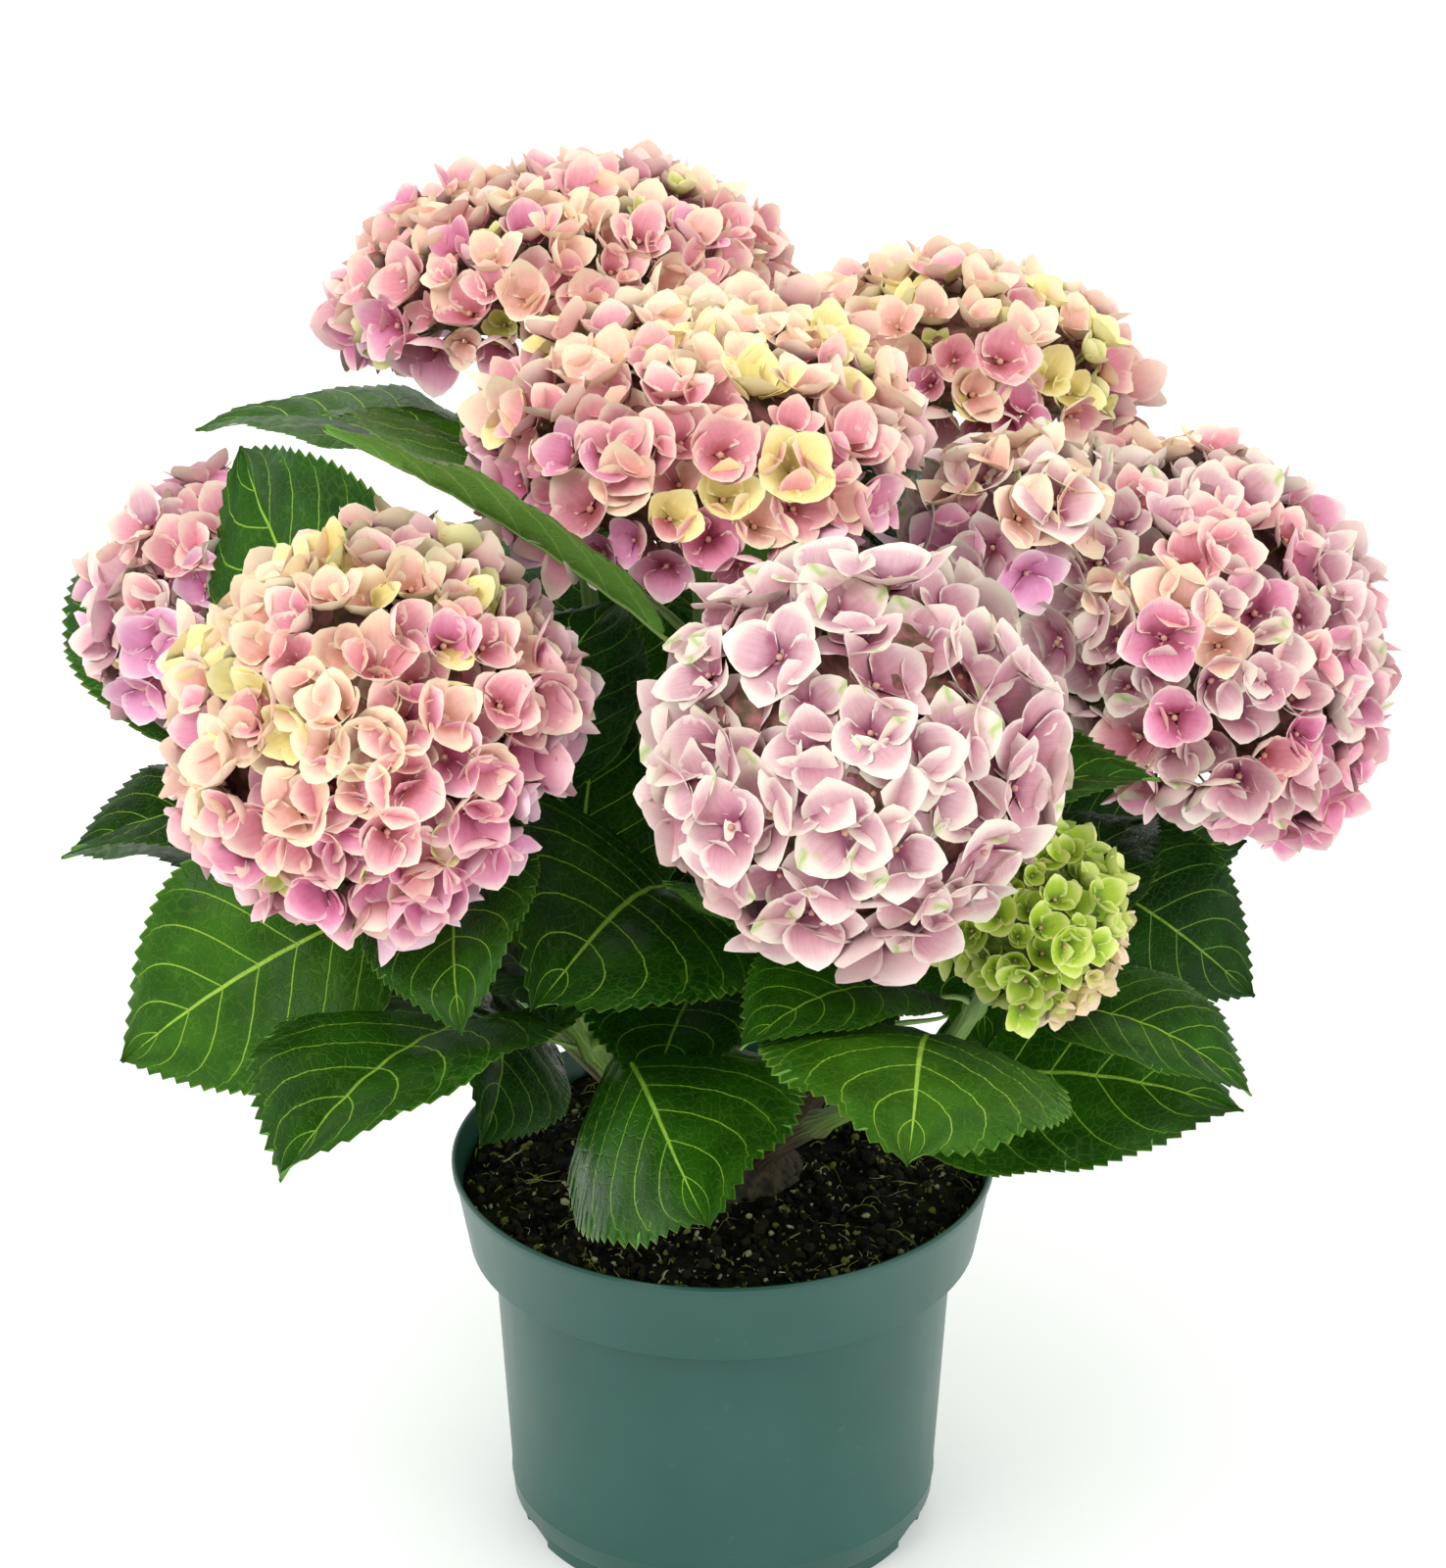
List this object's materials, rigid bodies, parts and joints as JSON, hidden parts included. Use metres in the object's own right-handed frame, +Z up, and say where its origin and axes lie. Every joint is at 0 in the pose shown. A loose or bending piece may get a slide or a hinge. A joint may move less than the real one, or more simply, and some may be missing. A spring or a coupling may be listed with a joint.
{
  "type": "potted hydrangea shrub",
  "caption": "Mophead hydrangea in a round flared plastic pot with a deep collar: stems from one woody crown, broad toothed leaves and large rounded flower heads.",
  "frame": {"origin": "centre of the pot's flat underside", "axes": "+Z is up along the pot's axis, +X is the plant's right and -Y its front"},
  "size_m": [0.4499, 0.5088, 0.467],
  "materials": {
    "pot": "satin blue-green plastic",
    "soil": "dark peaty potting soil",
    "stems": "brown-green bark",
    "leaves": "satin dark green foliage",
    "pink_blooms": "soft rose-pink petals with cream edges",
    "pale_blooms": "soft pale lilac-pink petals",
    "young_bloom": "soft lime-green petals"
  },
  "bodies": {
    "root": {"pot": "pot", "soil": "soil", "woody_crown": "stems", "stem_right": "stems", "stem_back_right": "stems", "stem_back": "stems", "stem_back_left": "stems", "stem_far_left": "stems", "stem_front_left": "stems", "stem_front_right": "stems", "stem_young": "stems", "stem_middle": "stems", "leaves_right": "leaves", "leaves_back_right": "leaves", "leaves_back": "leaves", "leaves_back_left": "leaves", "leaves_far_left": "leaves", "leaves_front_left": "leaves", "leaves_front_right": "leaves", "leaves_young": "leaves", "leaves_middle": "leaves", "bloom_right": "pink_blooms", "bloom_back_right": "pink_blooms", "bloom_back": "pink_blooms", "bloom_back_left": "pink_blooms", "bloom_far_left": "pink_blooms", "bloom_front_left": "pink_blooms", "bloom_front_right": "pale_blooms", "bloom_young": "young_bloom", "bloom_middle": "pink_blooms"}
  },
  "joints": []
}
